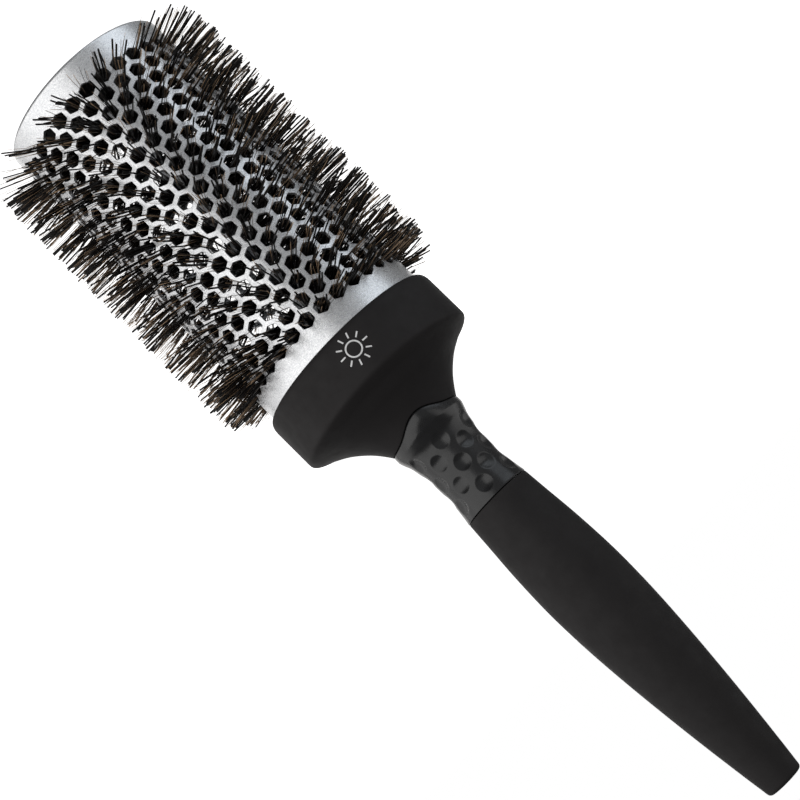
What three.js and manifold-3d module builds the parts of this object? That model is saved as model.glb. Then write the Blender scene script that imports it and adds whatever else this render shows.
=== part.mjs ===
// A round barrel brush for blow-drying: a vented metal barrel filled by a bristled twisted-wire core,
// held by a collar, a dimpled neck and a long tapered handle.
// Millimetres. The brush stands on the barrel's flat tip: the origin is the centre of that tip, +Z runs
// along the axis towards the handle's end, and -Y is the front.
import * as THREE from "three";
import { mergeVertices } from "three/addons/utils/BufferGeometryUtils.js";
import Module from "manifold-3d";

const wasm = await Module();
wasm.setup();

// Driving dimensions
const GAP = 0.3; // between pieces that touch
const BARREL_R = 26.5;
const BARREL_WALL = 1;
const BARREL_END_Z = 109; // inside the collar
const LIP_R = 22.5; // inner edge of the rolled tip
const LIP_ROUND = 1.1;

const VENT_RINGS = 10; // the vents are a honeycomb: staggered rings of hexagons
const VENTS_ROUND = 15;
const VENT_FIRST_Z = 11.8;
const VENT_PITCH_Z = 8.88;
const VENT_HALF_WIDTH = 4.16; // round the barrel, to the flats
const VENT_HALF_LENGTH = 4.26; // along the barrel, to the points
const VENT_HALF_FLAT = 2.18;

const BRISTLE_R = 37; // the bristles' tips
const HUB_R = 5.5; // where a row's bristles leave the wires
const TUFT_THICK = 2.4;
const TUFT_ROOT_WIDTH = 1.8;
const TUFT_TIP_WIDTH = 4.4;

const WIRE_R = 1.15;
const WIRE_HELIX_R = 1.35;
const WIRE_TWIST = 25; // length of one full turn
const WIRE_FROM_Z = 4.4;
const WIRE_TO_Z = 144;
const WIRE_BORE_R = 2.8; // clears the twisted pair
const FERRULE_R = 4.2;
const FERRULE_FROM_Z = 127.5;
const FERRULE_TO_Z = 144.5;

const PLUG_WALL = 1.6; // walls of the tip plug and the barrel bush
const TIP_PLUG_DEPTH = 4.7;
const TIP_SOCKET_DEPTH = 6.7;
const BUSH_FROM_Z = 99.5;
const BUSH_BOSS_R = 7.5;
const SPIGOT_R = 11; // the handle core's spigot, round the bush's boss

const CORE_R = 6.2;
const CORE_TAIL_R = 4.3;
const CORE_STEP_Z = 236; // where the core narrows inside the tapering handle
const CORE_END_Z = 252.6;

const COLLAR_FROM_Z = 101.9;
const COLLAR_R = 28.6;
const NECK_Z = 131.1; // seam between the collar and the neck sleeve
const CONE_TOP_Z = 126.5; // from here to the neck the collar's cone is straight
const CONE_TOP_R = 14.9;
const CONE_SLOPE = -0.7325; // change of radius for each millimetre of height
const TONGUE_LENGTH = 3.05; // how far the neck's front and back tongues lie over the cone
const TONGUE_SPREAD = THREE.MathUtils.degToRad(29.5); // from a tongue's middle to where it is e times shorter

const DIMPLE_R = 2.45;
const DIMPLE_DEPTH = 0.8;
const DIMPLE_RINGS = 5;
const DIMPLES_ROUND = 6;
const DIMPLE_FIRST_Z = 137.6;
const DIMPLE_PITCH_Z = 3.93;

const HANDLE_Z = 157.6; // seam between the neck sleeve and the handle
const HANDLE_END_Z = 260.2;
const END_PLUG_R = 3.6;
const END_PLUG_DEPTH = 7;

const SIDES = 36; // facets round the turned pieces
const SEAM_SIDES = 48; // finer round the two pieces whose seam bends
const BARREL_SIDES = 30; // two for each vent of a ring, so that a vent meets one edge
const SMALL_SIDES = 20;

const silverPaint = new THREE.MeshStandardMaterial({ color: 0xc4c7cc, roughness: 0.38, metalness: 0.85 });
const softTouch = new THREE.MeshStandardMaterial({ color: 0x262425, roughness: 0.7, metalness: 0 });
const sleeveRubber = new THREE.MeshStandardMaterial({ color: 0x3c3d40, roughness: 0.45, metalness: 0 });
const blackPlastic = new THREE.MeshStandardMaterial({ color: 0x1b1b1c, roughness: 0.5, metalness: 0 });
const bristleFibre = new THREE.MeshStandardMaterial({ color: 0x1d1611, roughness: 0.45, metalness: 0 });
const steel = new THREE.MeshStandardMaterial({ color: 0xa9abad, roughness: 0.3, metalness: 1 });
const brass = new THREE.MeshStandardMaterial({ color: 0xb89a55, roughness: 0.35, metalness: 1 });

// A body turned about +Z from [radius, height] points, with the solid on the left of the outline. The
// outline starts and ends on the axis. Angle 0 is the front, and angles grow towards +X.
function turned(outline, sides = SIDES) {
  const points = outline.map(([r, z]) => new THREE.Vector2(r, z));
  return new THREE.LatheGeometry(points, sides).rotateX(Math.PI / 2);
}

// The same for a body with a hole along the axis, whose outline closes on itself.
function turnedRing(outline, sides = SIDES) {
  return turned([...outline, outline[0]], sides);
}

// The outline of a smooth stretch, through a few [radius, height] points.
function smooth(points, steps) {
  const curve = new THREE.SplineCurve(points.map(([r, z]) => new THREE.Vector2(r, z)));
  return curve.getPoints(steps).map((p) => [p.x, p.y]);
}

function solidOf(geometry) {
  const bare = geometry.clone();
  bare.deleteAttribute("normal");
  bare.deleteAttribute("uv");
  const merged = mergeVertices(bare, 1e-3);
  return new wasm.Manifold(
    new wasm.Mesh({
      numProp: 3,
      vertProperties: merged.attributes.position.array,
      triVerts: new Uint32Array(merged.index.array),
    }),
  );
}

function cut(geometry, cutters) {
  const left = cutters.reduce((solid, cutter) => solid.subtract(solidOf(cutter)), solidOf(geometry));
  const { vertProperties, triVerts } = left.getMesh();
  const result = new THREE.BufferGeometry()
    .setAttribute("position", new THREE.BufferAttribute(vertProperties, 3))
    .setIndex(new THREE.BufferAttribute(triVerts, 1));
  result.computeVertexNormals();
  return result;
}

// The angle of piece j of a ring of so many, where every second ring is turned by half a step.
function ringAngle(ring, j, count) {
  return ((j + (ring % 2) / 2) * 2 * Math.PI) / count;
}

// Turns a shape's own Z outwards at an angle round the brush, with its Y along the axis.
function facingOut(angle, z) {
  const around = new THREE.Vector3(Math.cos(angle), Math.sin(angle), 0);
  const along = new THREE.Vector3(0, 0, 1);
  const outward = new THREE.Vector3(Math.sin(angle), -Math.cos(angle), 0);
  return new THREE.Matrix4().makeBasis(around, along, outward).setPosition(0, 0, z);
}

// Barrel: a tube whose tip edge rolls inwards into the flat lip that the brush stands on.
function barrelTube() {
  const innerR = BARREL_R - BARREL_WALL;
  const tube = turnedRing(
    [
      [LIP_R, 0],
      [BARREL_R - LIP_ROUND, 0],
      [BARREL_R - 0.3 * LIP_ROUND, 0.3 * LIP_ROUND],
      [BARREL_R, LIP_ROUND],
      [BARREL_R, BARREL_END_Z],
      [innerR, BARREL_END_Z],
      [innerR, BARREL_WALL],
      [LIP_R, BARREL_WALL],
    ],
    BARREL_SIDES,
  );
  const corners = [
    [VENT_HALF_WIDTH, -VENT_HALF_FLAT],
    [VENT_HALF_WIDTH, VENT_HALF_FLAT],
    [0, VENT_HALF_LENGTH],
    [-VENT_HALF_WIDTH, VENT_HALF_FLAT],
    [-VENT_HALF_WIDTH, -VENT_HALF_FLAT],
    [0, -VENT_HALF_LENGTH],
  ];
  const hexagon = new THREE.Shape(corners.map(([x, y]) => new THREE.Vector2(x, y)));
  const punch = new THREE.ExtrudeGeometry(hexagon, { depth: 0.4 * BARREL_R, bevelEnabled: false });
  punch.translate(0, 0, 0.8 * BARREL_R);
  const punches = [];
  for (let i = 0; i < VENT_RINGS; i++)
    for (let j = 0; j < VENTS_ROUND; j++) {
      const turn = facingOut(ringAngle(i, j, VENTS_ROUND), VENT_FIRST_Z + i * VENT_PITCH_Z);
      punches.push(punch.clone().applyMatrix4(turn));
    }
  return cut(tube, punches);
}

// One row of bristles: tapered tufts that stand from a hub round the wires out through the vents.
function bristleRow(ring) {
  const corners = [];
  for (let j = 0; j < VENTS_ROUND; j++) {
    const angle = ringAngle(ring, j, VENTS_ROUND) - Math.PI / 2;
    const tuft = [
      [HUB_R, -TUFT_ROOT_WIDTH / 2],
      [BRISTLE_R, -TUFT_TIP_WIDTH / 2],
      [BRISTLE_R, TUFT_TIP_WIDTH / 2],
      [HUB_R, TUFT_ROOT_WIDTH / 2],
    ];
    for (const [out, aside] of tuft)
      corners.push(new THREE.Vector2(out, aside).rotateAround(new THREE.Vector2(), angle));
  }
  const star = new THREE.Shape(corners);
  star.holes.push(new THREE.Path().absarc(0, 0, WIRE_BORE_R, 0, 2 * Math.PI, true));
  const row = new THREE.ExtrudeGeometry(star, { depth: TUFT_THICK, bevelEnabled: false, curveSegments: 6 });
  return row.translate(0, 0, VENT_FIRST_Z + ring * VENT_PITCH_Z - TUFT_THICK / 2);
}

// The line of one of the two wires, which wind round each other.
class Helix extends THREE.Curve {
  constructor(phase) {
    super();
    this.phase = phase;
  }

  getPoint(t, target = new THREE.Vector3()) {
    const z = THREE.MathUtils.lerp(WIRE_FROM_Z, WIRE_TO_Z, t);
    const angle = this.phase - (2 * Math.PI * z) / WIRE_TWIST;
    return target.set(WIRE_HELIX_R * Math.cos(angle), WIRE_HELIX_R * Math.sin(angle), z);
  }
}

function coreWire(phase) {
  const section = new THREE.Shape().absarc(0, 0, WIRE_R, 0, 2 * Math.PI);
  const steps = Math.round((8 * (WIRE_TO_Z - WIRE_FROM_Z)) / WIRE_TWIST);
  return new THREE.ExtrudeGeometry(section, { steps, curveSegments: 3, extrudePath: new Helix(phase) });
}

function wireFerrule() {
  return turnedRing(
    [
      [WIRE_BORE_R, FERRULE_FROM_Z],
      [FERRULE_R, FERRULE_FROM_Z],
      [FERRULE_R, FERRULE_TO_Z],
      [WIRE_BORE_R, FERRULE_TO_Z],
    ],
    SMALL_SIDES,
  );
}

// Tip plug: a disc behind the rolled lip, with a skirt in the barrel and a socket for the wires.
function tipPlug() {
  const skirtR = BARREL_R - BARREL_WALL - GAP;
  const faceZ = BARREL_WALL + GAP;
  return turned(
    [
      [0, faceZ],
      [skirtR, faceZ],
      [skirtR, faceZ + TIP_PLUG_DEPTH],
      [skirtR - PLUG_WALL, faceZ + TIP_PLUG_DEPTH],
      [skirtR - PLUG_WALL, faceZ + PLUG_WALL],
      [HUB_R, faceZ + PLUG_WALL],
      [HUB_R, faceZ + TIP_SOCKET_DEPTH],
      [WIRE_BORE_R, faceZ + TIP_SOCKET_DEPTH],
      [WIRE_BORE_R, WIRE_FROM_Z - GAP],
      [0, WIRE_FROM_Z - GAP],
    ],
    BARREL_SIDES,
  );
}

// Barrel bush: closes the barrel's handle end, and its boss carries the wires into the handle.
function barrelBush() {
  const skirtR = BARREL_R - BARREL_WALL - GAP;
  return turnedRing(
    [
      [WIRE_BORE_R, BUSH_FROM_Z],
      [skirtR, BUSH_FROM_Z],
      [skirtR, BARREL_END_Z],
      [skirtR - PLUG_WALL, BARREL_END_Z],
      [skirtR - PLUG_WALL, BUSH_FROM_Z + PLUG_WALL],
      [BUSH_BOSS_R, BUSH_FROM_Z + PLUG_WALL],
      [BUSH_BOSS_R, BARREL_END_Z],
      [WIRE_BORE_R, BARREL_END_Z],
    ],
    BARREL_SIDES,
  );
}

// Inside of the collar's cone.
const coneInside = [
  [BARREL_R + GAP, 112.9],
  [24.5, 116.2],
  [19, 119.2],
  [15.6, 121.6],
  [10, 124.6],
  [CORE_R + GAP, 125.2],
];

// Handle core: a spigot in the bush, a flange on the barrel's end, a cone, and a shaft down the handle.
function handleCore() {
  const flangeZ = BARREL_END_Z + GAP;
  const spigotZ = BUSH_FROM_Z + PLUG_WALL + GAP;
  const pocketR = FERRULE_R + GAP;
  return turned([
    [0, FERRULE_TO_Z + GAP],
    [pocketR, FERRULE_TO_Z + GAP],
    [pocketR, FERRULE_FROM_Z - GAP],
    [WIRE_BORE_R, FERRULE_FROM_Z - GAP],
    [WIRE_BORE_R, flangeZ],
    [BUSH_BOSS_R + GAP, flangeZ],
    [BUSH_BOSS_R + GAP, spigotZ],
    [SPIGOT_R, spigotZ],
    [SPIGOT_R, flangeZ],
    [BARREL_R, flangeZ],
    ...coneInside.map(([r, z]) => [r - GAP, z - 1.8 * GAP]),
    [CORE_R, CORE_STEP_Z],
    [CORE_TAIL_R, CORE_STEP_Z + 1],
    [CORE_TAIL_R, CORE_END_Z],
    [0, CORE_END_Z],
  ]);
}

// Outside radius of the collar's straight cone, and of the neck's tongues that lie flush with it.
function coneRadius(z) {
  return CONE_TOP_R + CONE_SLOPE * (z - CONE_TOP_Z);
}

// Moves the rim at one height along the cone, so that the seam there bends round the neck's two tongues.
function bendRim(geometry, rimZ) {
  const points = geometry.attributes.position;
  for (let i = 0; i < points.count; i++) {
    const x = points.getX(i);
    const y = points.getY(i);
    if (Math.abs(points.getZ(i) - rimZ) > 1e-3) continue;
    const fromMiddle = Math.asin(Math.abs(x) / Math.hypot(x, y));
    const z = rimZ - TONGUE_LENGTH * Math.exp(-((fromMiddle / TONGUE_SPREAD) ** 2));
    const outside = Math.hypot(x, y) > CORE_R + 2 * GAP;
    const scale = outside ? coneRadius(z) / Math.hypot(x, y) : 1;
    points.setXYZ(i, x * scale, y * scale, z);
  }
  geometry.computeVertexNormals();
  return geometry;
}

// Collar: the cover over the barrel's end, with a rounded shoulder and a hollowed cone.
function collarShell() {
  const rimZ = NECK_Z - GAP / 2;
  const outline = [
    [BARREL_R + GAP, COLLAR_FROM_Z],
    ...smooth([[26.9, COLLAR_FROM_Z], [28.1, 102.5], [COLLAR_R, 104.2]], 3),
    ...smooth([[COLLAR_R, 115.6], [28.35, 117.2], [26.9, 118.4]], 3),
    ...smooth([[24.5, 119.35], [19.3, 122.4], [CONE_TOP_R, CONE_TOP_Z]], 4),
    [coneRadius(rimZ), rimZ],
    [CORE_R + GAP, rimZ],
    ...coneInside.toReversed(),
  ];
  return bendRim(turnedRing(outline, SEAM_SIDES), rimZ);
}

// Neck sleeve: a waisted rubber sleeve with staggered rings of finger dimples.
function neckSleeve() {
  const rimZ = NECK_Z + GAP / 2;
  const waist = smooth([[10.45, 136.2], [9.75, 139.8], [9.35, 143.6], [9.25, 149.1], [9.9, 155.4]], 7);
  const outline = [
    [CORE_R + GAP, rimZ],
    [coneRadius(rimZ), rimZ],
    [11.5, 133.2],
    ...waist,
    [10.2, HANDLE_Z - GAP / 2],
    [CORE_R + GAP, HANDLE_Z - GAP / 2],
  ];
  const ballR = (DIMPLE_R ** 2 + DIMPLE_DEPTH ** 2) / (2 * DIMPLE_DEPTH);
  const dimples = [];
  for (let i = 0; i < DIMPLE_RINGS; i++) {
    const z = DIMPLE_FIRST_Z + i * DIMPLE_PITCH_Z;
    const [surfaceR] = waist.reduce((a, b) => (Math.abs(b[1] - z) < Math.abs(a[1] - z) ? b : a));
    const ball = new THREE.SphereGeometry(ballR, 12, 8).translate(0, 0, surfaceR - DIMPLE_DEPTH + ballR);
    for (let j = 0; j < DIMPLES_ROUND; j++)
      dimples.push(ball.clone().applyMatrix4(facingOut(ringAngle(i, j, DIMPLES_ROUND), z)));
  }
  return cut(bendRim(turnedRing(outline, SEAM_SIDES), rimZ), dimples);
}

// Handle: a soft-touch grip, thickest under the palm and slim at its end, where a plug closes it.
function handleGrip() {
  const spine = [[10.2, HANDLE_Z + GAP / 2], [11.2, 169.8], [12.05, 189.2], [11.25, 208.3]];
  const taper = [[9.57, 227.2], [7.42, 246], [5.75, 258]];
  const pocketZ = HANDLE_END_Z - END_PLUG_DEPTH - GAP;
  return turnedRing([
    [CORE_R + GAP, HANDLE_Z + GAP / 2],
    ...smooth([...spine, ...taper], 12),
    [5.35, HANDLE_END_Z - 0.6],
    [4.6, HANDLE_END_Z],
    [END_PLUG_R + GAP, HANDLE_END_Z],
    [END_PLUG_R + GAP, pocketZ],
    [CORE_TAIL_R + GAP, pocketZ],
    [CORE_TAIL_R + GAP, CORE_STEP_Z + 1 + GAP],
    [CORE_R + GAP, CORE_STEP_Z + 1],
  ]);
}

function endPlug() {
  const faceZ = HANDLE_END_Z - GAP;
  return turned(
    [
      [0, HANDLE_END_Z - END_PLUG_DEPTH],
      [END_PLUG_R, HANDLE_END_Z - END_PLUG_DEPTH],
      [END_PLUG_R, faceZ - 0.4],
      [END_PLUG_R - 0.4, faceZ],
      [0, faceZ],
    ],
    SMALL_SIDES,
  );
}

const brush = new THREE.Group();

function place(name, geometry, material) {
  const mesh = new THREE.Mesh(geometry, material);
  mesh.name = name;
  brush.add(mesh);
}

place("barrel_tube", barrelTube(), silverPaint);
place("tip_plug", tipPlug(), blackPlastic);
place("barrel_bush", barrelBush(), blackPlastic);
place("core_wire_a", coreWire(0), steel);
place("core_wire_b", coreWire(Math.PI), steel);
place("wire_ferrule", wireFerrule(), brass);
for (let ring = 0; ring < VENT_RINGS; ring++) {
  const number = String(ring + 1).padStart(2, "0");
  place(`bristle_row_${number}`, bristleRow(ring), bristleFibre);
}
place("handle_core", handleCore(), blackPlastic);
place("collar_shell", collarShell(), softTouch);
place("neck_sleeve", neckSleeve(), sleeveRubber);
place("handle_grip", handleGrip(), softTouch);
place("end_plug", endPlug(), blackPlastic);

export default brush;
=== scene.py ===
"""Round barrel brush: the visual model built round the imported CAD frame. Blender 4.5, metres, +Z up.

The brush stands on the barrel's tip with its handle up. Outlines below are [radius, height] points in
millimetres, as in the CAD source, and angles round the brush run from the front (-Y) towards +X.
"""
import math

import bpy
import numpy as np
from mathutils import Matrix, Vector


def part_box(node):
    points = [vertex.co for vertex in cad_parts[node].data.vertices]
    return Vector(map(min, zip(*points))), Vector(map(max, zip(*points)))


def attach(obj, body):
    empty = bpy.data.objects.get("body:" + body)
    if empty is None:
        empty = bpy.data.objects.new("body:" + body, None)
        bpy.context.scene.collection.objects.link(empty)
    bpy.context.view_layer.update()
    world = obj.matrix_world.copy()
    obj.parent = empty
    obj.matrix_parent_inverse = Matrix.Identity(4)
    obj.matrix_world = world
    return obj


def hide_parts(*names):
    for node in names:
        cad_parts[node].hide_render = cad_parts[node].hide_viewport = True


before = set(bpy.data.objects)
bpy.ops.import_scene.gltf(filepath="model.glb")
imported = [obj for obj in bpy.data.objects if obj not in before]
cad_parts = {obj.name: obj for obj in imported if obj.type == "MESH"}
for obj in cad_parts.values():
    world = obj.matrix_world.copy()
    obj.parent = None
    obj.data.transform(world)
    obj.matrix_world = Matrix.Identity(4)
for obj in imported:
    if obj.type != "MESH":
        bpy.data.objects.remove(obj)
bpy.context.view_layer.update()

MM = 0.001
TAU = 2 * math.pi
rng = np.random.default_rng(53)


# ---------------------------------------------------------------- sizes, in millimetres

def mm_box(node):
    """The lowest and the highest corner of a CAD node."""
    low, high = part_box(node)
    return np.array(low) / MM, np.array(high) / MM


BARREL_R = mm_box("barrel_tube")[1][1]
BARREL_END = mm_box("barrel_tube")[1][2]
BARREL_WALL = 1.0
CUT_EDGE = 0.2  # rounding of the tube's cut edges
LIP_R = 22.5  # the opening in the rolled-in tip edge
LIP_MIDDLE_R = 24
LIP_ROUND = 1.1  # outside rounding of the roll
LIP_CORNER = 0.3  # the same on the inside

VENT_RINGS = 20
VENTS_ROUND = 30
VENT_PITCH_Z = 4.44
VENT_PITCH_ROUND = TAU * BARREL_R / VENTS_ROUND
VENT_FIRST_Z = 9.58
VENT_TURN = math.radians(0.94)  # the first ring's vent nearest the front
WEB = 1.4  # metal left between two vents
POINT_SHARE = 0.652  # how much of the pitch along the axis a cell's point reaches over
VENT_EDGE = 0.14  # rounding of the vents' edges
VENT_CORNER = 0.25  # how far a vent's six corners are drawn in, as a share
BAND_FROM = 3.3  # where the plain bands start, from the middle of the outermost vents

BRISTLE_R = mm_box("bristle_row_01")[1][0]
CORE_R = 2.6
ROOTS_FROM = mm_box("tip_plug")[1][2] + 0.5  # no bristle starts inside the tip plug
WIRE_TWIST = 25.0  # length of one full turn of the wires

COLLAR_FROM, COLLAR_R = mm_box("collar_shell")[0][2], mm_box("collar_shell")[1][0]
NECK_Z = 131.1
SEAM = 0.1  # half of the groove between two pieces of the handle
TONGUE_LENGTH = 3.05
TONGUE_SPREAD = math.radians(29.5)
SHAFT_R = 6.5
HANDLE_Z = 157.6
HANDLE_END = mm_box("handle_grip")[1][2]


# ---------------------------------------------------------------- meshes

def make_piece(name, points, faces, materials, replaces=(), normals=None, tint_and_shade=None, choice=None):
    """A shown piece on the brush's one body. points are in millimetres."""
    mesh = bpy.data.meshes.new(name)
    mesh.from_pydata((np.asarray(points) * MM).tolist(), [], faces)
    for material in materials:
        mesh.materials.append(material)
    mesh.polygons.foreach_set("use_smooth", [True] * len(mesh.polygons))
    if choice is not None:
        mesh.polygons.foreach_set("material_index", choice)
    # The tint attribute carries each filament's own tone and, for boar, painted shade inside the barrel.
    if tint_and_shade is not None:
        mesh.attributes.new("tint_and_shade", "FLOAT", "POINT").data.foreach_set("value", tint_and_shade)
    mesh.update()
    if normals is not None:
        mesh.normals_split_custom_set_from_vertices(normals)
    piece = bpy.data.objects.new(name, mesh)
    bpy.context.scene.collection.objects.link(piece)
    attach(piece, "root")
    if replaces:
        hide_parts(*replaces)
    return piece


def around(angle, radius, z):
    """Points at these angles from the front, radii and heights."""
    return np.stack([radius * np.sin(angle), -radius * np.cos(angle), z + 0 * angle], axis=-1)


def smooth(points, steps):
    """A Catmull-Rom curve through the points, with so many steps between each two."""
    p = np.array(points, float)
    p = np.vstack([2 * p[0] - p[1], p, 2 * p[-1] - p[-2]])
    out = []
    for a, b, c, d in zip(p, p[1:], p[2:], p[3:]):
        for t in np.arange(steps) / steps:
            out.append(0.5 * (2 * b + (c - a) * t + (2 * a - 5 * b + 4 * c - d) * t**2
                              + (3 * b - a - 3 * c + d) * t**3))
    return [tuple(q) for q in out] + [tuple(p[-2])]


def corner(before, at, after, size, steps=5):
    """A rounded corner that starts and ends this far from its point."""
    a, m, b = (np.array(v, float) for v in (before, at, after))
    a = m + (a - m) / np.linalg.norm(a - m) * size
    b = m + (b - m) / np.linalg.norm(b - m) * size
    t = np.linspace(0, 1, steps)[:, None]
    return [tuple(q) for q in (1 - t)**2 * a + 2 * t * (1 - t) * m + t**2 * b]


def divided(outline, longest):
    """The outline with every stretch cut to this length at most, so that shading stays even."""
    out = [outline[0]]
    for a, b in zip(outline, outline[1:]):
        n = max(1, math.ceil(math.dist(a, b) / longest))
        out += [tuple(np.array(a) + (np.array(b) - np.array(a)) * k / n) for k in range(1, n + 1)]
    return out


def turned(name, outline, materials, replaces=(), sides=128, closed=True, longest=1.2, shape=None):
    """A turned piece. shape may move its points: it takes and returns angle, radius and height."""
    line = np.array(divided(outline + [outline[0]] if closed else outline, longest))
    if closed:
        line = line[:-1]
    angle, row = np.meshgrid(np.arange(sides) * TAU / sides, np.arange(len(line)))
    radius, z = line[row, 0], line[row, 1]
    if shape:
        angle, radius, z = shape(angle, radius, z)
    points = around(angle, radius, z).reshape(-1, 3)
    faces = []
    rows = len(line) if closed else len(line) - 1
    for i in range(rows):
        a, b = i * sides, (i + 1) % len(line) * sides
        faces += [(a + j, a + (j + 1) % sides, b + (j + 1) % sides, b + j) for j in range(sides)]
    if not closed:
        faces += [tuple(range(sides))[::-1], tuple((len(line) - 1) * sides + j for j in range(sides))]
    make_piece(name, points, faces, materials, replaces)


# ---------------------------------------------------------------- materials

def material(name, color, metallic=0.0, roughness=0.5, **inputs):
    """A Principled material, its node tree and its shader. Patterns linked later replace plain values."""
    made = bpy.data.materials.new(name)
    made.use_nodes = True
    tree = made.node_tree
    shader = tree.nodes["Principled BSDF"]
    shader.inputs["Base Color"].default_value = (*color, 1)
    shader.inputs["Metallic"].default_value = metallic
    shader.inputs["Roughness"].default_value = roughness
    for key, value in inputs.items():
        shader.inputs[key.replace("_", " ")].default_value = value
    return made, tree, shader


def noise(tree, scale, detail=2.0, roughness=0.5, stretch=(1, 1, 1)):
    """Noise in the object's own space; scale is in features for each metre."""
    place = tree.nodes.new("ShaderNodeTexCoord")
    texture = tree.nodes.new("ShaderNodeTexNoise")
    texture.inputs["Scale"].default_value = scale
    texture.inputs["Detail"].default_value = detail
    texture.inputs["Roughness"].default_value = roughness
    if stretch == (1, 1, 1):
        tree.links.new(place.outputs["Object"], texture.inputs["Vector"])
    else:
        mapping = tree.nodes.new("ShaderNodeMapping")
        mapping.inputs["Scale"].default_value = stretch
        tree.links.new(place.outputs["Object"], mapping.inputs["Vector"])
        tree.links.new(mapping.outputs["Vector"], texture.inputs["Vector"])
    return texture.outputs["Fac"]


def to_range(tree, value, low, high, from_low=0.3, from_high=0.7):
    """The value spread over low to high."""
    node = tree.nodes.new("ShaderNodeMapRange")
    node.inputs["From Min"].default_value = from_low
    node.inputs["From Max"].default_value = from_high
    node.inputs["To Min"].default_value = low
    node.inputs["To Max"].default_value = high
    tree.links.new(value, node.inputs["Value"])
    return node.outputs["Result"]


def two_colors(tree, value, first, second, low=0.3, high=0.7):
    """A blend of two colours that runs where the value goes from low to high."""
    ramp = tree.nodes.new("ShaderNodeValToRGB")
    ramp.color_ramp.elements[0].position = low
    ramp.color_ramp.elements[0].color = (*first, 1)
    ramp.color_ramp.elements[1].position = high
    ramp.color_ramp.elements[1].color = (*second, 1)
    tree.links.new(value, ramp.inputs["Fac"])
    return ramp.outputs["Color"]


def bump(tree, shader, height, distance, strength, after=None):
    """Fine grain on the shader's normals; distance is in metres, and after is an earlier bump's result."""
    node = tree.nodes.new("ShaderNodeBump")
    node.inputs["Distance"].default_value = distance
    node.inputs["Strength"].default_value = strength
    tree.links.new(height, node.inputs["Height"])
    if after:
        tree.links.new(after, node.inputs["Normal"])
    tree.links.new(node.outputs["Normal"], shader.inputs["Normal"])
    return node.outputs["Normal"]


def silver_paint():
    """Silver metallic paint: fine flakes that differ in shade, gloss and height, over a fine grain."""
    made, tree, shader = material("silver_paint", (0.75, 0.76, 0.78), metallic=0.92, roughness=0.34)
    place = tree.nodes.new("ShaderNodeTexCoord")
    flakes = tree.nodes.new("ShaderNodeTexVoronoi")
    flakes.inputs["Scale"].default_value = 4200
    tree.links.new(place.outputs["Object"], flakes.inputs["Vector"])
    split = tree.nodes.new("ShaderNodeSeparateColor")
    tree.links.new(flakes.outputs["Color"], split.inputs["Color"])
    shade = two_colors(tree, split.outputs["Red"], (0.69, 0.70, 0.72), (0.90, 0.905, 0.915), 0.1, 0.95)
    tree.links.new(shade, shader.inputs["Base Color"])
    tree.links.new(to_range(tree, split.outputs["Green"], 0.26, 0.42, 0, 1), shader.inputs["Roughness"])
    grain = bump(tree, shader, noise(tree, 2600, 3, 0.6), 0.00003, 0.5)
    bump(tree, shader, split.outputs["Blue"], 0.00002, 0.5, grain)
    return made


def soft_touch():
    """Black soft-touch coating: matte, slightly clouded and very finely grained."""
    made, tree, shader = material("soft_touch", (0.0195, 0.0178, 0.0182), roughness=0.7)
    shader.inputs["Specular IOR Level"].default_value = 0.22
    cloud = noise(tree, 90, 3, 0.6)
    tree.links.new(two_colors(tree, cloud, (0.0165, 0.0150, 0.0153), (0.0195, 0.0178, 0.0181)),
                   shader.inputs["Base Color"])
    tree.links.new(to_range(tree, noise(tree, 240, 4, 0.6), 0.62, 0.76), shader.inputs["Roughness"])
    bump(tree, shader, noise(tree, 5200, 2, 0.6), 0.00001, 0.35)
    return made


def sleeve_rubber():
    """Dark grey thermoplastic rubber with a soft gloss."""
    made, tree, shader = material("sleeve_rubber", (0.040, 0.040, 0.043), roughness=0.4)
    shader.inputs["Specular IOR Level"].default_value = 0.55
    cloud = noise(tree, 160, 4, 0.6)
    tree.links.new(two_colors(tree, cloud, (0.0080, 0.0080, 0.0088), (0.0115, 0.0115, 0.0124)),
                   shader.inputs["Base Color"])
    tree.links.new(to_range(tree, noise(tree, 420, 4, 0.65), 0.22, 0.34), shader.inputs["Roughness"])
    bump(tree, shader, noise(tree, 3200, 3, 0.6), 0.000012, 0.4)
    return made


def black_plastic():
    """Satin moulded plastic, for the plugs and the inner pieces."""
    made, tree, shader = material("black_plastic", (0.014, 0.014, 0.015), roughness=0.48)
    tree.links.new(to_range(tree, noise(tree, 500, 4, 0.6), 0.42, 0.56), shader.inputs["Roughness"])
    tree.links.new(two_colors(tree, noise(tree, 120), (0.012, 0.012, 0.013), (0.017, 0.017, 0.018)),
                   shader.inputs["Base Color"])
    bump(tree, shader, noise(tree, 4000, 2), 0.00001, 0.4)
    return made


def filament(name, dark, light, roughness, gloss):
    """Bristle, with its colour from the mesh's tint attribute and a slightly uneven gloss. For boar that
    colour also holds painted shade, dark inside the barrel.
    """
    made, tree, shader = material(name, dark, roughness=roughness, Specular_IOR_Level=gloss)
    shade = tree.nodes.new("ShaderNodeAttribute")
    shade.attribute_name = "tint_and_shade"
    tree.links.new(two_colors(tree, shade.outputs["Fac"], dark, light, 0, 1), shader.inputs["Base Color"])
    tree.links.new(to_range(tree, noise(tree, 900, 3), roughness - 0.08, roughness + 0.1),
                   shader.inputs["Roughness"])
    return made


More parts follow.
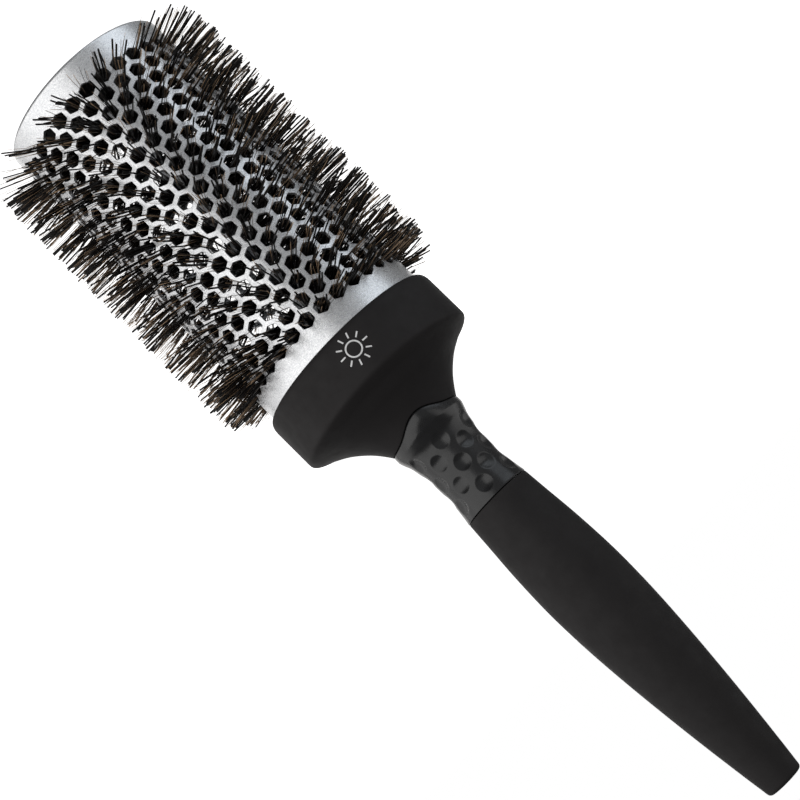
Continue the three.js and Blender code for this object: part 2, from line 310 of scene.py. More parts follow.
def bare_metal(name, color, roughness):
    """Drawn metal, with streaks along the axis."""
    made, tree, shader = material(name, color, metallic=1.0, roughness=roughness)
    tree.links.new(to_range(tree, noise(tree, 700, 4, 0.6, (1, 1, 0.1)), roughness - 0.08, roughness + 0.1),
                   shader.inputs["Roughness"])
    shade = two_colors(tree, noise(tree, 300, 3), tuple(0.85 * c for c in color), color)
    tree.links.new(shade, shader.inputs["Base Color"])
    bump(tree, shader, noise(tree, 2500, 2, 0.5, (1, 1, 0.2)), 0.00001, 0.3)
    return made


def printed_ink():
    """The light grey ink of the mark."""
    made, tree, shader = material("printed_ink", (0.78, 0.78, 0.78), roughness=0.5)
    tree.links.new(two_colors(tree, noise(tree, 1500, 2), (0.70, 0.70, 0.70), (0.84, 0.84, 0.84)),
                   shader.inputs["Base Color"])
    return made


SILVER, SOFT, RUBBER, PLASTIC = silver_paint(), soft_touch(), sleeve_rubber(), black_plastic()
NYLON = filament("nylon_bristle", (0.0026, 0.0023, 0.0022), (0.012, 0.0085, 0.0065), 0.4, 0.2)
# Boar's dark colour is partly the hair's own, on darker hairs, and partly painted shade inside the barrel.
BOAR = filament("boar_bristle", (0.008, 0.005, 0.004), (0.64, 0.44, 0.28), 0.45, 0.25)
STEEL, BRASS = bare_metal("steel_wire", (0.55, 0.56, 0.58), 0.3), bare_metal("brass", (0.6, 0.46, 0.2), 0.35)
INK = printed_ink()


# ---------------------------------------------------------------- barrel

def hexagon(half_point, half_flat, half_width, shares=(0, 0.14, 0.86)):
    """A hexagon with its points along the axis, as (along, round) pairs. Each of its sides has points at
    these shares of its length."""
    k = [(half_point, 0), (half_flat, half_width), (-half_flat, half_width),
         (-half_point, 0), (-half_flat, -half_width), (half_flat, -half_width)]
    k = np.array(k)
    return np.array([k[i] + (k[(i + 1) % 6] - k[i]) * t for i in range(6) for t in shares])


def rounded(points, amount):
    """The same points with the six corners drawn in, which rounds them."""
    out = points.copy()
    step = len(points) // 6
    for i in range(0, len(points), step):
        middle = (points[i - 1] + points[(i + 1) % len(points)]) / 2
        out[i] = points[i] + (middle - points[i]) * amount
    return out


def vent_outlines():
    """A cell of the honeycomb, the rounded edge of its vent, and the vent's wall."""
    half_pitch = VENT_PITCH_ROUND / 2
    point = POINT_SHARE * VENT_PITCH_Z
    flat = VENT_PITCH_Z - point
    cell = hexagon(point, flat, half_pitch)
    normal = np.array([half_pitch, point - flat]) / math.hypot(half_pitch, point - flat)
    reach = normal[0] * point

    def shrunk(by):
        width = half_pitch - by
        return hexagon((reach - by) / normal[0], (reach - by - normal[1] * width) / normal[0], width)

    edge = rounded(shrunk(WEB / 2 - VENT_EDGE), VENT_CORNER)
    wall = rounded(shrunk(WEB / 2), VENT_CORNER)
    return cell, edge, wall


def vent_places():
    """Each vent's ring, counted from the tip, and the height and angle of its middle."""
    for i in range(VENT_RINGS):
        for j in range(VENTS_ROUND):
            yield i, VENT_FIRST_Z + i * VENT_PITCH_Z, VENT_TURN + (j + i % 2 / 2) * TAU / VENTS_ROUND


def barrel():
    """The vented tube: honeycomb cells joined to plain bands, with the tip edge rolled in."""
    inner = BARREL_R - BARREL_WALL
    cell, edge, wall = vent_outlines()
    n = len(cell)
    loops = [(cell, BARREL_R, 1), (edge, BARREL_R, 1), (wall, BARREL_R - VENT_EDGE, 0),
             (wall, inner + VENT_EDGE, 0), (edge, inner, -1), (cell, inner, -1)]
    points, normals, faces = [], [], []
    for i, z, angle in vent_places():
        start = len(points) * n
        for shape, radius, facing in loops:
            a = angle + shape[:, 1] / BARREL_R
            points.append(around(a, radius, z + shape[:, 0]))
            if facing:
                normals.append(around(a, facing, 0 * a))
            else:
                into = around(np.full(n, angle), BARREL_R, np.full(n, z)) - points[-1]
                outward = around(a, 1, 0 * a)
                into -= outward * np.sum(into * outward, axis=1)[:, None]
                normals.append(into / np.linalg.norm(into, axis=1)[:, None])
        for row in range(len(loops) - 1):
            for k in range(n):
                a, b = start + row * n + k, start + row * n + (k + 1) % n
                faces.append((a + n, b + n, b, a))

    def band(side, ring, rows):
        """Plain metal from a ring's outer zigzag over rows of [radius, height, normal out, normal up]."""
        if side < 0:
            half = cell[n // 2 - n // 6: n // 2 + n // 6 + 1]
        else:
            half = np.vstack([cell[-(n // 6):], cell[:n // 6 + 1]])
        order = half[np.argsort(half[:, 1])][:-1]
        z = VENT_FIRST_Z + ring * VENT_PITCH_Z
        angles, heights = [], []
        for j in range(VENTS_ROUND):
            angles.append(VENT_TURN + (j + ring % 2 / 2) * TAU / VENTS_ROUND + order[:, 1] / BARREL_R)
            heights.append(z + order[:, 0])
        angles, heights = np.concatenate(angles), np.concatenate(heights)
        start, m = len(points_all), len(angles)
        lines = [around(angles, BARREL_R, heights)]
        line_normals = [around(angles, 1, 0 * angles)]
        for radius, height, out, up in rows:
            lines.append(around(angles, radius, np.full(m, height)))
            line_normals.append(around(angles, out, np.full(m, float(up))))
        lines.append(around(angles, inner, heights))
        line_normals.append(around(angles, -1, 0 * angles))
        made = []
        for row in range(len(lines) - 1):
            for k in range(m):
                a, b = start + row * m + k, start + row * m + (k + 1) % m
                quad = (a, b, b + m, a + m)
                made.append(quad[::-1] if side < 0 else quad)
        return np.concatenate(lines), np.concatenate(line_normals), made

    points_all, normals_all = np.concatenate(points), np.concatenate(normals)
    low = VENT_FIRST_Z - BAND_FROM
    high = VENT_FIRST_Z + (VENT_RINGS - 1) * VENT_PITCH_Z + BAND_FROM
    tip = [(BARREL_R, z, 1, 0) for z in (low, low / 2 + LIP_ROUND / 2)]
    for t in np.linspace(0, math.pi / 2, 7):
        tip.append((BARREL_R - LIP_ROUND * (1 - math.cos(t)), LIP_ROUND * (1 - math.sin(t)),
                    math.cos(t), -math.sin(t)))
    tip += [(LIP_MIDDLE_R, 0, 0, -1), (LIP_R + CUT_EDGE, 0, 0, -1), (LIP_R, CUT_EDGE, -1, 0),
            (LIP_R, BARREL_WALL - CUT_EDGE, -1, 0), (LIP_R + CUT_EDGE, BARREL_WALL, 0, 1),
            (inner - LIP_CORNER, BARREL_WALL, 0, 1), (inner, BARREL_WALL + LIP_CORNER, -1, 0),
            (inner, low, -1, 0)]
    end = [(BARREL_R, high, 1, 0), (BARREL_R, COLLAR_FROM + 1, 1, 0), (BARREL_R, BARREL_END - CUT_EDGE, 1, 0),
           (BARREL_R - CUT_EDGE, BARREL_END, 0, 1), (inner + CUT_EDGE, BARREL_END, 0, 1),
           (inner, BARREL_END - CUT_EDGE, -1, 0), (inner, high, -1, 0)]
    for side, ring, rows in ((-1, 0, tip), (1, VENT_RINGS - 1, end)):
        more, more_normals, more_faces = band(side, ring, rows)
        points_all = np.vstack([points_all, more])
        normals_all = np.vstack([normals_all, more_normals])
        faces += more_faces

    # Neighbouring cells and bands share their points, and each shared point takes the mean of the normals.
    _, first, same = np.unique(np.round(points_all, 3), axis=0, return_index=True, return_inverse=True)
    same = same.reshape(-1)
    summed = np.zeros((len(first), 3))
    np.add.at(summed, same, normals_all)
    joined = [tuple(int(same[v]) for v in f) for f in faces]
    joined = [f for f in joined if len(set(f)) == 4]
    summed /= np.linalg.norm(summed, axis=1)[:, None] + 1e-9
    make_piece("barrel", points_all[first], joined, [SILVER], ["barrel_tube"], summed)


# ---------------------------------------------------------------- bristles

# A kind of filament: how many a vent on a sheet of bristle (most) and one midway between two sheets (least)
# hold on average, the thickest one's radius, the range of their ends' radii, and how far their ends stray.
NYLON_TUFT = {"most": 3.3, "least": 0.8, "thick": 0.27,
              "reach": (BRISTLE_R - 0.2, BRISTLE_R + 0.6), "splay": 0.3}
BOAR_TUFT = {"most": 5.6, "least": 1.1, "thick": 0.1,
             "reach": (BRISTLE_R - 0.8, BRISTLE_R + 0.6), "splay": 0.45}
NYLON_RADII, NYLON_SIDES = (0.19, 0.27), 5
BOAR_RADII, BOAR_SIDES = (0.07, 0.105), 3

# Each filament has a station at its root, in its vent, midway along its free part and at its end.
BOAR_TAPER = np.array([1, 0.97, 0.9, 0.75])
BOAR_GOLD_AND_BARREL_SHADE = np.array([0, 0.01, 0.6, 1])  # painted shade: dark at the root and in the vent, where the barrel shades it; golden, the hair's own colour, outside
STATIONS = len(BOAR_TAPER)

HOLE_R = 1.95  # room in a vent round its middle
HOLE_LENGTH = 0.9  # the same along the axis, as a share
SHEET_PULL = 0.85  # how much of the way from under its vent to the nearest sheet a root has moved
ROOT_INWARD = 1.5  # how much nearer to the barrel's middle the end rings' roots lie
ROOT_STRAY, ROOT_TURN_STRAY = 0.7, 0.2  # of single roots, along the axis and round it (radians)
STRAIGHT_ON = 0.6  # how much of its slope inside the barrel a filament keeps outside
BUNDLE_LEAN = 0.45  # of all the ends of a vent
BEND = 0.08  # of a filament's free part
BEND_R = 32  # about the middle radius of the free parts

# Shares of the way from the barrel's middle ring to its outermost ones.
ENDS_FROM, ENDS_RUN = 0.8, 0.2
LAST_FROM, LAST_RUN = 0.95, 0.05
# What changes there, at the tip's end and at the collar's end.
END_CROWD = (0.4, 0.8)  # more filaments, as a share
END_FLARE = (1.1, 0.1)  # how far they lean outwards
LAST_SHORT = (0.8, 2.5)  # how much shorter the outermost ring's may be


def filaments(paths, radii, sides):
    """Tubes along paths (filament, station, xyz), with a flat cut at their ends: points and faces."""
    count, stations = paths.shape[:2]
    along = np.gradient(paths, axis=1)
    along /= np.linalg.norm(along, axis=2)[:, :, None]
    aside = np.cross(along, np.array([0, 0, 1.0]))
    aside /= np.linalg.norm(aside, axis=2)[:, :, None]
    other = np.cross(along, aside)
    spin = rng.uniform(0, TAU, (count, 1)) + np.arange(sides) * TAU / sides
    ring = (aside[:, :, None] * np.cos(spin)[:, None, :, None]
            + other[:, :, None] * np.sin(spin)[:, None, :, None])
    points = paths[:, :, None] + ring * radii[:, :, None, None]
    base = (np.arange(count) * stations * sides)[:, None, None]
    row = (np.arange(stations - 1) * sides)[None, :, None]
    k = np.arange(sides)[None, None, :]
    a, b = base + row + k, base + row + (k + 1) % sides
    quads = np.stack([a, b, b + sides, a + sides], axis=-1).reshape(-1, 4)
    caps = base[:, 0] + (stations - 1) * sides + np.arange(sides)[None]
    roots = base[:, 0] + np.arange(sides)[None][:, ::-1]
    return points.reshape(-1, 3), quads.tolist() + caps.tolist() + roots.tolist()


def from_sheet(angle, z):
    """How far along the axis a place lies from the nearest sheet of bristle. The twisted wires hold the
    bristle in a double helix, so two sheets start in each of its turns."""
    return (z + WIRE_TWIST * angle / TAU) % (WIRE_TWIST / 2) - WIRE_TWIST / 4


def tuft_paths(rings, most, least, thick, reach, splay):
    """Centre lines of the filaments of these rings of vents, from the wires out through each vent."""
    middle = (VENT_RINGS - 1) / 2
    lines = []
    for i, z, angle in vent_places():
        if i not in rings:
            continue
        sheet = from_sheet(angle, z)
        end = (i - middle) / middle
        side = int(end > 0)
        outward = np.sign(end) * max(0, abs(end) - ENDS_FROM) / ENDS_RUN
        fill = max(outward, 1 - min(1, abs(sheet) / (WIRE_TWIST / 4)) ** 2)
        crowd = 1 + END_CROWD[side] * abs(outward)
        count = rng.poisson((least + (most - least) * fill) * crowd)
        short = LAST_SHORT[side] * max(0, abs(end) - LAST_FROM) / LAST_RUN
        lean = rng.normal(0, BUNDLE_LEAN, 2)
        for _ in range(count):
            a = rng.uniform(0, TAU)
            r = (HOLE_R - thick) * math.sqrt(rng.uniform(0, 1))
            hole_z = z + HOLE_LENGTH * r * math.cos(a)
            hole_angle = angle + r * math.sin(a) / BARREL_R
            root_z = z - SHEET_PULL * sheet - ROOT_INWARD * outward + rng.normal(0, ROOT_STRAY)
            root_z = max(root_z, ROOTS_FROM)
            root_angle = angle + rng.normal(0, ROOT_TURN_STRAY)
            length = rng.uniform(*reach) - short * rng.uniform(0.2, 1)
            out = (length - BARREL_R) / BARREL_R
            flare = END_FLARE[side] * outward * rng.uniform(0.4, 1.6)
            tip_z = hole_z + STRAIGHT_ON * (hole_z - root_z) * out + flare + lean[0] + rng.normal(0, splay)
            tip_angle = hole_angle + (lean[1] + rng.normal(0, splay)) / length
            bend = rng.normal(0, BEND, 2)
            stations = [(root_angle, CORE_R, root_z),
                        (hole_angle, BARREL_R - BARREL_WALL / 2, hole_z),
                        ((hole_angle + tip_angle) / 2 + bend[0] / BEND_R, (BARREL_R + length) / 2,
                         (hole_z + tip_z) / 2 + bend[1]),
                        (tip_angle, length, tip_z)]
            lines.append([around(np.array(s[0]), s[1], s[2]) for s in stations])
    return np.array(lines)


def bristles():
    """For each row of CAD tufts, the two rings of real ones: thick nylon and thin boar bristle."""
    for row in range(VENT_RINGS // 2):
        rings = (2 * row, 2 * row + 1)
        thick = tuft_paths(rings, **NYLON_TUFT)
        thin = tuft_paths(rings, **BOAR_TUFT)
        thick_r = rng.uniform(*NYLON_RADII, (len(thick), 1)) * np.ones(STATIONS)
        thin_r = rng.uniform(*BOAR_RADII, (len(thin), 1)) * BOAR_TAPER
        p1, f1 = filaments(thick, thick_r, NYLON_SIDES)
        p2, f2 = filaments(thin, thin_r, BOAR_SIDES)
        faces = f1 + [tuple(v + len(p1) for v in f) for f in f2]
        # Painted shade: each boar hair is dark inside the barrel, and golden, its own colour, outside it.
        golden_and_barrel_shade = rng.uniform(0, 1, (len(thin), 1)) ** 1.2 * BOAR_GOLD_AND_BARREL_SHADE
        shade = rng.uniform(0, 1, len(thick)) ** 2
        tint_and_shade = np.concatenate([np.repeat(shade, STATIONS * NYLON_SIDES), np.repeat(golden_and_barrel_shade, BOAR_SIDES)])
        choice = [0] * len(f1) + [1] * len(f2)
        number = f"{row + 1:02d}"
        make_piece("bristles_" + number, np.vstack([p1, p2]), faces, [NYLON, BOAR],
                   ["bristle_row_" + number], tint_and_shade=tint_and_shade, choice=choice)


# ---------------------------------------------------------------- handle pieces

CONE = [(28.6, 115.9), (28.59, 116.55), (28.48, 117.1), (28.15, 117.6), (27.4, 118.15), (26.2, 118.72),
        (24.5, 119.35), (23.0, 120.1), (21.2, 121.1), (19.3, 122.4), (16.95, 124.4), (14.98, 126.4),
        (13.3, 128.5), (11.85, 130.6), (10.6, 132.6)]
CONE_SKIN = smooth(CONE, 8)
CONE_LINE = np.array(CONE_SKIN)


def cone_radius(z):
    """The collar's outside radius at this height."""
    return np.interp(z, CONE_LINE[:, 1], CONE_LINE[:, 0])


def tongue(angle):
    """How far round a point is on the neck's front or back tongue: 1 at its middle, near 0 at the sides."""
    from_middle = (angle + math.pi / 2) % math.pi - math.pi / 2
    return np.exp(-(from_middle / TONGUE_SPREAD) ** 2)


def slid(angle, z, near):
    """Heights slid down the cone on the tongues, where near says by how much of the tongue's length."""
    return z - TONGUE_LENGTH * tongue(angle) * np.clip(near, 0, 1)


CREASE_DIP = 1.4  # how far the shoulder's crease dips at the front and back, as the neck's seam does
CREASE_RUN = (113.5, 115.8, 118.2, 121.5)  # heights where the dip starts, is full, starts to fade and ends
ON_CONE = 0.5  # a point this near the cone's radius is on the collar's outside
COLLAR_SLIDE = 7  # how far below the neck's seam the collar's skin starts to slide down with the tongues


def dipped(angle, z):
    """Heights near the shoulder's crease, lowered towards the front and back."""
    start, full, fading, end = CREASE_RUN
    share = np.clip(np.minimum((z - start) / (full - start), (end - z) / (end - fading)), 0, 1)
    return z - CREASE_DIP * np.cos(angle) ** 2 * (1 - np.cos(math.pi * share)) / 2


def collar():
    """The collar: a band, the rounded shoulder and the concave cone up to the neck's seam."""
    rim = NECK_Z - SEAM
    outline = [(26.85, COLLAR_FROM + 0.15), (27.0, COLLAR_FROM)]
    outline += smooth([(27.3, COLLAR_FROM), (27.85, COLLAR_FROM + 0.25), (28.25, COLLAR_FROM + 0.8),
                       (28.5, COLLAR_FROM + 1.6), (COLLAR_R, COLLAR_FROM + 2.7)], 4)
    skin = [p for p in CONE_SKIN if p[1] < rim - 0.5]

    def shape(angle, radius, z):
        outside = np.abs(radius - cone_radius(z)) < ON_CONE
        moved = slid(angle, z, 1 - (rim - z) / COLLAR_SLIDE)
        slides = outside & (z > rim - COLLAR_SLIDE)
        lowered = np.where(outside, dipped(angle, moved), moved)
        return angle, np.where(slides, radius - cone_radius(z) + cone_radius(moved), radius), lowered

    outline += skin
    outline += corner(skin[-1], (float(cone_radius(rim)), rim), (SHAFT_R + 1, rim), 0.14)
    outline += [(SHAFT_R + 1.2, rim), (SHAFT_R + 1.2, 125.1), (10, 124.6), (15.6, 121.6), (19, 119.2),
                (24.5, 116.2), (26.8, 112.9), (26.8, COLLAR_FROM + 0.5)]
    turned("collar", outline, [SOFT], ["collar_shell"], sides=160, shape=shape)


NECK = [(11.63, 127.0), (11.63, 132.4), (11.58, 133.1), (11.4, 133.7), (11.0, 134.8), (10.54, 135.9),
        (10.22, 137.2), (9.93, 138.8), (9.62, 140.6), (9.39, 142.6), (9.3, 145), (9.25, 147.6), (9.27, 149.8),
        (9.44, 151.8), (9.7, 153.8), (9.95, 155.6), (10.25, 157.3)]
NECK_LINE = np.array(smooth(NECK, 6))
NECK_EDGE = 0.4  # rounding of the sleeve's edge at the collar
NECK_END_EDGE = 0.15  # the same at the grip
NECK_SLIDE = 4.5  # how far above the seam the sleeve still slides down with the tongues
NECK_FACE_R = SHAFT_R + 0.8  # where the sleeve's end faces step into its bore
NECK_SKIN_FROM = SHAFT_R + 1.5  # points further out than this are the sleeve's skin
TONGUE_RISE = 0.8  # length over which the tongues keep their extra radius
TONGUE_FALL = 7.5  # length over which it then fades into the waist
DIMPLE_R = 2.42
DIMPLE_DEPTH = 0.72
DIMPLE_ROUND = 0.35  # width of the dimples' soft edge
DIMPLE_BLEND = 0.2  # how softly that edge runs out into the sleeve
DIMPLE_REACH = 1.6  # how far a dimple's soft edge counts, in its radii
DIMPLE_FIRST_Z, DIMPLE_PITCH_Z, DIMPLE_RINGS, DIMPLES_ROUND = 137.6, 3.93, 5, 6


def dimple_depth(angle, radius, z):
    """How deep the neck sleeve's surface lies under its plain shape at these places."""
    depth = np.zeros_like(radius)
    for ring in range(DIMPLE_RINGS):
        for j in range(DIMPLES_ROUND):
            middle = (j + ring % 2 / 2) * TAU / DIMPLES_ROUND
            across = ((angle - middle + math.pi) % TAU - math.pi) * radius
            away = np.hypot(across, z - DIMPLE_FIRST_Z - ring * DIMPLE_PITCH_Z)
            bowl = DIMPLE_DEPTH * (1 - (away / DIMPLE_R) ** 2)
            soft = DIMPLE_DEPTH * DIMPLE_ROUND / DIMPLE_R
            bowl = 0.5 * (bowl + np.sqrt(bowl ** 2 + soft ** 2 * DIMPLE_BLEND))
            depth = np.maximum(depth, np.where(away < DIMPLE_REACH * DIMPLE_R, bowl, 0))
    return depth


def neck():
    """The dimpled sleeve, whose edge at the collar runs down in a tongue at the front and the back."""
    rim, end = NECK_Z + SEAM, HANDLE_Z - SEAM

    def shape(angle, radius, z):
        moved = slid(angle, z, 1 - (z - rim) / NECK_SLIDE)
        seam = rim - TONGUE_LENGTH * tongue(angle)
        sleeve = np.interp(moved, NECK_LINE[:, 1], NECK_LINE[:, 0])
        fade = np.clip((moved - seam - TONGUE_RISE) / TONGUE_FALL, 0, 1)
        skin = sleeve + (cone_radius(seam) - cone_radius(rim)) * (0.5 + 0.5 * np.cos(math.pi * fade))
        from_rim = np.clip((z - rim) / NECK_EDGE, 0, 1)
        skin = skin - NECK_EDGE * (1 - np.sqrt(1 - (1 - from_rim) ** 2)) - dimple_depth(angle, radius, moved)
        at_end = np.clip((z - end + NECK_END_EDGE) / NECK_END_EDGE, 0, 1)
        skin = skin - NECK_END_EDGE * (1 - np.sqrt(1 - at_end ** 2))
        on_skin = radius > NECK_SKIN_FROM
        return angle, np.where(on_skin, skin, radius), moved

    heights = np.concatenate([rim + NECK_EDGE * (1 - np.cos(np.linspace(0, math.pi / 2, 7))),
                              np.arange(rim + 1, end - 0.4, 0.2),
                              end - NECK_END_EDGE * (1 - np.sin(np.linspace(0, math.pi / 2, 4)))])
    outline = [(NECK_FACE_R, rim)]
    outline += [(float(np.interp(z, NECK_LINE[:, 1], NECK_LINE[:, 0])), float(z)) for z in heights]
    outline += [(NECK_FACE_R, end), (SHAFT_R, end), (SHAFT_R, rim)]
    turned("neck", outline, [RUBBER], ["neck_sleeve"], sides=320, longest=1, shape=shape)


GRIP = [(10.25, 158.4), (10.72, 164.7), (11.6, 176.3), (12.03, 189.2), (11.65, 202), (10.75, 214.7),
        (9.55, 227.2), (8.15, 239.8), (6.58, 252.2), (5.75, 258.2)]


def grip():
    """The spindle-shaped grip, with a rounded mouth at its end where the plug sits."""
    start = HANDLE_Z + SEAM
    outline = corner((SHAFT_R, start), (10.18, start), GRIP[0], 0.2)
    outline += smooth(GRIP, 8)
    outline += corner(GRIP[-1], (5.5, HANDLE_END), (3.9, HANDLE_END), 1.2, 8)
    outline += corner((5, HANDLE_END), (3.85, HANDLE_END), (3.85, 255), 0.15, 3)
    outline += [(3.85, 252.9), (4.7, 252.9), (4.7, 237.5), (SHAFT_R, 237), (SHAFT_R, start)]
    turned("grip", outline, [SOFT], ["handle_grip"], sides=128, longest=1.5)


def plug_at_end():
    """The small plug in the handle's end, slightly dished."""
    top = HANDLE_END - 0.12
    outline = [(0.02, 253.2), (3.6, 253.2)] + corner((3.6, 255), (3.7, top), (2, top), 0.35)
    outline += smooth([(2.6, top - 0.02), (1.4, top - 0.3), (0.02, top - 0.42)], 5)
    turned("end_cap", outline, [PLASTIC], ["end_plug"], sides=64, closed=False, longest=0.8)


def plug_at_tip():
    """The disc inside the rolled tip. It has a raised ring and a middle boss on its outer face, and inside
    the socket that centres the wires, deep enough to clear their slanted ends."""
    low, high = mm_box("tip_plug")
    face, skirt, top = low[2], high[1], high[2]
    wall, socket_r, socket_floor, boss_r = 1.6, 2.8, 3.8, 5.5
    outline = [(0.02, face + 0.5), (2.2, face + 0.5), (2.4, face + 0.1), (3.6, face + 0.1), (3.8, face + 0.7),
               (17.0, face + 0.7), (17.3, face + 0.15), (18.6, face + 0.15), (18.9, face + 0.7),
               (21.5, face + 0.7), (21.8, face)]
    outline += corner((21.8, face), (skirt, face), (skirt, 4), 0.3)
    outline += corner((skirt, 4), (skirt, top - 1), (skirt - wall, top - 1), 0.2, 3)
    outline += [(skirt - wall, top - 1), (skirt - wall, face + 1.7), (boss_r, face + 1.7), (boss_r, top),
                (socket_r, top), (socket_r, socket_floor), (0.02, socket_floor)]
    turned("tip_cap", outline, [PLASTIC], ["tip_plug"], sides=96, closed=False, longest=2)


# ---------------------------------------------------------------- printed mark

MARK_Z = 108.2
MARK_RING_R = 2.1
MARK_STROKES = 10
MARK_STROKE = (3.0, 4.6)  # from this far from the mark's middle to this far
MARK_LINE = 0.42  # width of its lines
MARK_LIFTS = (0.03, -0.05)  # the ink's outer and inner face, from the collar's surface


def ribbon(points, width, closed):
    """A flat printed line through (across, up) points: its two edges."""
    p = np.array(points, float)
    along = np.roll(p, -1, axis=0) - np.roll(p, 1, axis=0) if closed else np.gradient(p, axis=0)
    along /= np.linalg.norm(along, axis=1)[:, None]
    aside = np.stack([-along[:, 1], along[:, 0]], axis=1) * width / 2
    return p + aside, p - aside


def printed_mark():
    """A plain pictogram of a round brush seen from its end: a ring with short strokes round it."""
    turn = np.linspace(0, TAU, 48, endpoint=False)
    strokes = [(np.stack([MARK_RING_R * np.cos(turn), MARK_RING_R * np.sin(turn)], axis=1), True)]
    for k in range(MARK_STROKES):
        a = k * TAU / MARK_STROKES
        r = np.linspace(*MARK_STROKE, 5)
        strokes.append((np.stack([r * math.cos(a), r * math.sin(a)], axis=1), False))
    points, faces = [], []
    for line, closed in strokes:
        left, right = ribbon(line, MARK_LINE, closed)
        for lift in MARK_LIFTS:
            for edge in (left, right):
                points.append(around(edge[:, 0] / COLLAR_R, COLLAR_R + lift, MARK_Z + edge[:, 1]))
        n = len(line)
        start = sum(len(p) for p in points[:-4])
        ring = n if closed else n - 1
        for k in range(ring):
            a, b = start + k, start + (k + 1) % n
            faces += [(a, b, b + n, a + n), (a + 2 * n, a + 3 * n, b + 3 * n, b + 2 * n),
                      (a, a + 2 * n, b + 2 * n, b), (a + n, b + n, b + 3 * n, a + 3 * n)]
        if not closed:
            for k, flip in ((0, 1), (n - 1, -1)):
                faces.append((start + k, start + k + n, start + k + 3 * n, start + k + 2 * n)[::flip])
    piece = make_piece("printed_mark", np.concatenate(points), faces, [INK])
    piece.data.polygons.foreach_set("use_smooth", [False] * len(piece.data.polygons))


# ---------------------------------------------------------------- CAD nodes that stay

def keep_cad_nodes():
    """The inner pieces stay as the CAD made them, with better materials."""
    finishes = {"core_wire_a": STEEL, "core_wire_b": STEEL, "wire_ferrule": BRASS,
                "barrel_bush": PLASTIC, "handle_core": PLASTIC}
    for name, finish in finishes.items():
        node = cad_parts[name]
        node.data.materials.clear()
        node.data.materials.append(finish)


# ---------------------------------------------------------------- studio

CAMERA_AIM = Vector((-0.00044, 0, 0.12114))
CAMERA_DISTANCE = 0.54835
CAMERA_TURN = 3.0  # degrees from the brush's front towards +X
CAMERA_HEIGHT_ANGLE = 9.03  # degrees above the horizon
CAMERA_ROLL = 134.5  # degrees; the brush lies across the picture with its tip at the upper left
CAMERA_LENS = 93.65  # millimetres, on a sensor 36 wide

# Name, angles round the brush in degrees, low and high edge in metres, radiance, colour, and distance from
# the axis in metres.
PANELS = [("key", 1, 91, -0.6, 0.5, 1.2, (1.0, 0.995, 0.985), 0.75),
          ("side", 91, 133, -0.6, 0.5, 0.78, (1.0, 0.99, 0.98), 0.75),
          ("back", 143, 210, -0.6, 0.5, 1.0, (1.0, 0.985, 0.97), 0.75),
          ("cool", -90, -49, -0.6, 0.085, 1.03, (0.86, 0.93, 1.0), 0.3),
          ("high", -120, -49, 0.16, 0.6, 0.8, (1.0, 0.99, 0.98), 0.75),
          ("front", -49, 1, -0.6, 0.5, 0.16, (0.96, 0.98, 1.0), 0.75)]
WORLD_LIGHT = 0.15
WHITE = (1, 1, 1, 1)
FLOOR_HALF = 12.0


def camera():
    """The photograph's view."""
    data = bpy.data.cameras.new("camera")
    data.lens = CAMERA_LENS
    data.sensor_width = 36
    data.clip_start, data.clip_end = 0.01, 100
    made = bpy.data.objects.new("camera", data)
    up, side = math.radians(CAMERA_HEIGHT_ANGLE), math.radians(CAMERA_TURN)
    back = Vector((math.cos(up) * math.sin(side), -math.cos(up) * math.cos(side), math.sin(up)))
    roll = Matrix.Rotation(math.radians(CAMERA_ROLL), 4, "Z")
    turn = back.to_track_quat("Z", "Y").to_matrix().to_4x4() @ roll
    made.matrix_world = Matrix.Translation(CAMERA_AIM + back * CAMERA_DISTANCE) @ turn
    bpy.context.scene.collection.objects.link(made)
    bpy.context.scene.camera = made


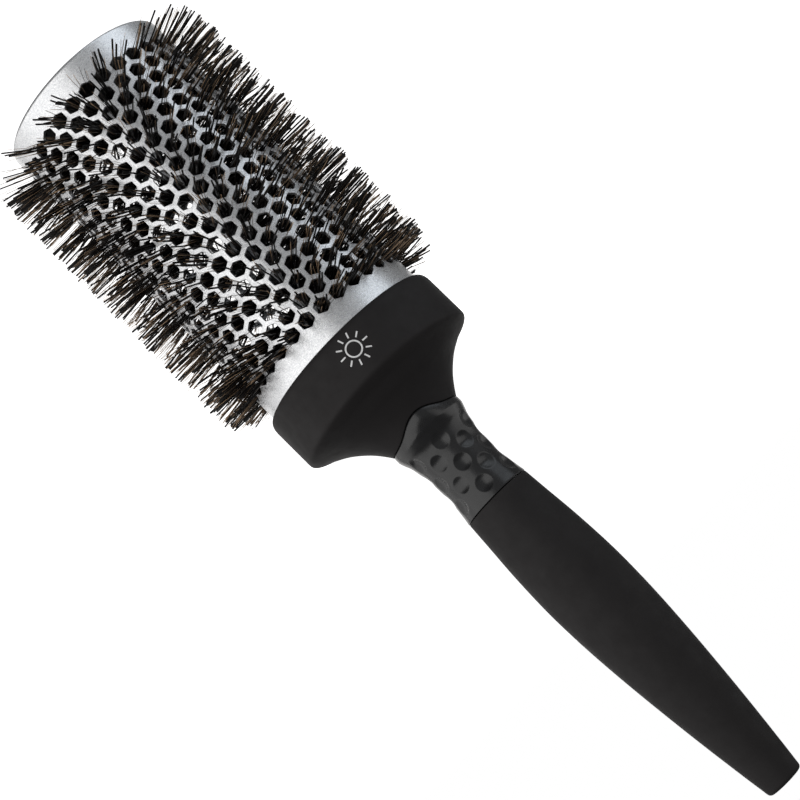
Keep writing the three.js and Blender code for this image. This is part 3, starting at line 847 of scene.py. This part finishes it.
def panel(name, from_angle, to_angle, low, high, radiance, color, distance):
    """A soft upright light panel that fills this much of the view round the brush."""
    a = math.radians((from_angle + to_angle) / 2)
    width = 2 * distance * math.tan(math.radians(to_angle - from_angle) / 2)
    data = bpy.data.lights.new(name, "AREA")
    data.shape = "RECTANGLE"
    data.size, data.size_y = width, high - low
    data.energy = radiance * math.pi * width * (high - low)
    data.color = color
    made = bpy.data.objects.new(name, data)
    place = Vector((distance * math.sin(a), -distance * math.cos(a), (low + high) / 2))
    made.location = place
    made.rotation_euler = Vector((-place.x, -place.y, 0)).to_track_quat("-Z", "Y").to_euler()
    made.visible_camera = False
    bpy.context.scene.collection.objects.link(made)


def studio():
    """The light panels, a white background that lights less than it shows, and a white floor."""
    for values in PANELS:
        panel(*values)
    world = bpy.data.worlds.new("studio")
    world.use_nodes = True
    tree = world.node_tree
    lit = tree.nodes["Background"]
    lit.inputs["Color"].default_value = WHITE
    lit.inputs["Strength"].default_value = WORLD_LIGHT
    seen = tree.nodes.new("ShaderNodeBackground")
    seen.inputs["Color"].default_value = WHITE
    seen.inputs["Strength"].default_value = 1.0
    ray = tree.nodes.new("ShaderNodeLightPath")
    mix = tree.nodes.new("ShaderNodeMixShader")
    tree.links.new(ray.outputs["Is Camera Ray"], mix.inputs["Fac"])
    tree.links.new(lit.outputs[0], mix.inputs[1])
    tree.links.new(seen.outputs[0], mix.inputs[2])
    tree.links.new(mix.outputs[0], tree.nodes["World Output"].inputs["Surface"])
    bpy.context.scene.world = world
    bpy.context.scene.view_settings.view_transform = "Standard"

    made, _, shader = material("floor", (0.9, 0.9, 0.9), roughness=0.9)
    shader.inputs["Emission Color"].default_value = WHITE
    shader.inputs["Emission Strength"].default_value = 1.0
    mesh = bpy.data.meshes.new("floor")
    corners = [(-1, -1), (1, -1), (1, 1), (-1, 1)]
    mesh.from_pydata([(x * FLOOR_HALF, y * FLOOR_HALF, 0) for x, y in corners], [], [(0, 1, 2, 3)])
    mesh.materials.append(made)
    floor = bpy.data.objects.new("floor", mesh)
    # Only the camera sees the floor. The panels reach below it, so it may not shade them, and its own light
    # on the brush would fill the dark gaps between them.
    floor.visible_glossy = floor.visible_diffuse = floor.visible_shadow = False
    bpy.context.scene.collection.objects.link(floor)


camera()
barrel()
bristles()
collar()
neck()
grip()
plug_at_end()
plug_at_tip()
printed_mark()
keep_cad_nodes()
studio()

bpy.context.view_layer.update()
